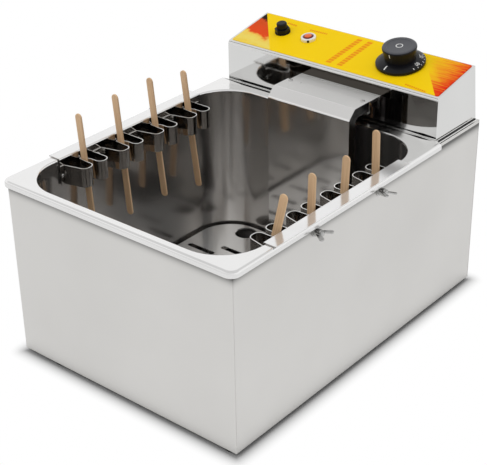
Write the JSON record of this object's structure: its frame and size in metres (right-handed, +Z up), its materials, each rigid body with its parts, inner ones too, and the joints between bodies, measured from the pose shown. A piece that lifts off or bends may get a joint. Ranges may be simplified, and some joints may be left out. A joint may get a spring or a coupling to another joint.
{
  "type": "electric deep fryer",
  "caption": "Counter-top electric deep fryer: a steel casing with a lift-out tank, a control head with a guarded element at the back and clip racks that hold wooden sticks.",
  "frame": {"origin": "middle of the bounding box, on the surface that the feet stand on", "axes": "+X to the right seen from the front, +Y to the back where the control head is, +Z up"},
  "size_m": [0.3768, 0.5016, 0.331],
  "materials": {
    "satin_steel": "satin brushed",
    "polished_steel": "polished",
    "guard_steel": "polished",
    "fastener_steel": "plain",
    "element_tube": "dull",
    "brass": "plain",
    "copper_tube": "plain",
    "foot_rubber": "matte",
    "black_plastic": "fine grain",
    "pale_plastic": "matte",
    "lamp_bezel": "bright",
    "red_lens": "clear",
    "yellow_print": "printed",
    "wood": "sanded"
  },
  "bodies": {
    "casing": {"front_panel": "satin_steel", "side_panel_left": "satin_steel", "side_panel_right": "satin_steel", "rear_panel": "satin_steel", "base_plate": "satin_steel", "feet": "foot_rubber", "foot_screws": "fastener_steel", "rear_shelf": "satin_steel"},
    "tank": {"tank_pan": "polished_steel", "tank_deck": "polished_steel", "rack_bolts_left": "fastener_steel", "rack_bolts_right": "fastener_steel", "washers_left": "fastener_steel", "washers_right": "fastener_steel"},
    "control_head": {"head_box": "satin_steel", "head_floor": "satin_steel", "head_cover": "satin_steel", "cover_screws": "fastener_steel", "cord_gland": "black_plastic", "panel_overlay": "yellow_print", "thermostat_body": "black_plastic", "reset_bezel": "black_plastic", "limiter_body": "fastener_steel", "lamp_body": "lamp_bezel", "lamp_lens": "red_lens", "terminal_block": "pale_plastic", "earth_stud": "fastener_steel", "element_loop_1": "element_tube", "element_loop_2": "element_tube", "element_loop_3": "element_tube", "element_bars": "fastener_steel", "flange_plate": "fastener_steel", "tube_nuts": "brass", "thermostat_bulb": "copper_tube", "limiter_bulb": "copper_tube", "element_guard": "guard_steel", "guard_bracket": "guard_steel", "guard_screws": "fastener_steel"},
    "knob": {"thermostat_knob": "black_plastic", "thermostat_spindle": "brass"},
    "reset": {"reset_button": "black_plastic"},
    "grid": {"slotted_grid": "polished_steel"},
    "rack_right": {"rack_right": "polished_steel", "clip_strip_right": "polished_steel", "rack_rivets_right": "fastener_steel"},
    "stick_right_1": {"stick_right_1": "wood"},
    "stick_right_2": {"stick_right_2": "wood"},
    "stick_right_3": {"stick_right_3": "wood"},
    "stick_right_4": {"stick_right_4": "wood"},
    "wing_nut_right_front": {"wing_nut_right_front": "fastener_steel"},
    "wing_nut_right_rear": {"wing_nut_right_rear": "fastener_steel"},
    "rack_left": {"rack_left": "polished_steel", "clip_strip_left": "polished_steel", "rack_rivets_left": "fastener_steel"},
    "stick_left_1": {"stick_left_1": "wood"},
    "stick_left_2": {"stick_left_2": "wood"},
    "stick_left_3": {"stick_left_3": "wood"},
    "stick_left_4": {"stick_left_4": "wood"},
    "wing_nut_left_front": {"wing_nut_left_front": "fastener_steel"},
    "wing_nut_left_rear": {"wing_nut_left_rear": "fastener_steel"}
  },
  "joints": [
    {"name": "tank_lift", "type": "slide", "parent": "casing", "child": "tank", "axis": [0, 0, 1], "range_m": [0, 0.26]},
    {"name": "head_lift", "type": "slide", "parent": "tank", "child": "control_head", "axis": [0, 0, 1], "range_m": [0, 0.3]},
    {"name": "grid_lift", "type": "slide", "parent": "control_head", "child": "grid", "axis": [0, 0, 1], "range_m": [0, 0.25]},
    {"name": "knob_turn", "type": "hinge", "parent": "control_head", "child": "knob", "pos_m": [0.0783, 0.19377, 0.30124], "axis": [0, 0.1893, -0.9819], "range_deg": [0, 270]},
    {"name": "reset_press", "type": "slide", "parent": "control_head", "child": "reset", "axis": [0, 0.1893, -0.9819], "range_m": [0, 0.003], "stiffness_N_per_m": 400, "springref_m": -0.002},
    {"name": "rack_right_lift", "type": "slide", "parent": "grid", "child": "rack_right", "axis": [0, 0, 1], "range_m": [0, 0.12]},
    {"name": "stick_right_1_pull", "type": "slide", "parent": "rack_right", "child": "stick_right_1", "axis": [0.23, 0, 0.9732], "range_m": [-0.02, 0.16]},
    {"name": "stick_right_2_pull", "type": "slide", "parent": "rack_right", "child": "stick_right_2", "axis": [0.0349, 0, 0.9994], "range_m": [-0.02, 0.16]},
    {"name": "stick_right_3_pull", "type": "slide", "parent": "rack_right", "child": "stick_right_3", "axis": [0.0471, 0, 0.9989], "range_m": [-0.02, 0.16]},
    {"name": "stick_right_4_pull", "type": "slide", "parent": "rack_right", "child": "stick_right_4", "axis": [-0.0175, 0, 0.9998], "range_m": [-0.02, 0.16]},
    {"name": "wing_nut_right_front_turn", "type": "hinge", "parent": "tank", "child": "wing_nut_right_front", "pos_m": [0.17, -0.1057, 0.223], "axis": [1, 0, 0], "continuous": true},
    {"name": "wing_nut_right_rear_turn", "type": "hinge", "parent": "tank", "child": "wing_nut_right_rear", "pos_m": [0.17, 0.017, 0.223], "axis": [1, 0, 0], "continuous": true},
    {"name": "rack_left_lift", "type": "slide", "parent": "grid", "child": "rack_left", "axis": [0, 0, 1], "range_m": [0, 0.12]},
    {"name": "stick_left_1_pull", "type": "slide", "parent": "rack_left", "child": "stick_left_1", "axis": [-0.0767, 0, 0.9971], "range_m": [-0.02, 0.16]},
    {"name": "stick_left_2_pull", "type": "slide", "parent": "rack_left", "child": "stick_left_2", "axis": [-0.0889, 0, 0.996], "range_m": [-0.02, 0.16]},
    {"name": "stick_left_3_pull", "type": "slide", "parent": "rack_left", "child": "stick_left_3", "axis": [-0.1045, 0, 0.9945], "range_m": [-0.02, 0.16]},
    {"name": "stick_left_4_pull", "type": "slide", "parent": "rack_left", "child": "stick_left_4", "axis": [-0.1271, 0, 0.9919], "range_m": [-0.02, 0.16]},
    {"name": "wing_nut_left_front_turn", "type": "hinge", "parent": "tank", "child": "wing_nut_left_front", "pos_m": [-0.17, -0.11225, 0.223], "axis": [-1, 0, 0], "continuous": true},
    {"name": "wing_nut_left_rear_turn", "type": "hinge", "parent": "tank", "child": "wing_nut_left_rear", "pos_m": [-0.17, 0.01295, 0.223], "axis": [-1, 0, 0], "continuous": true}
  ]
}
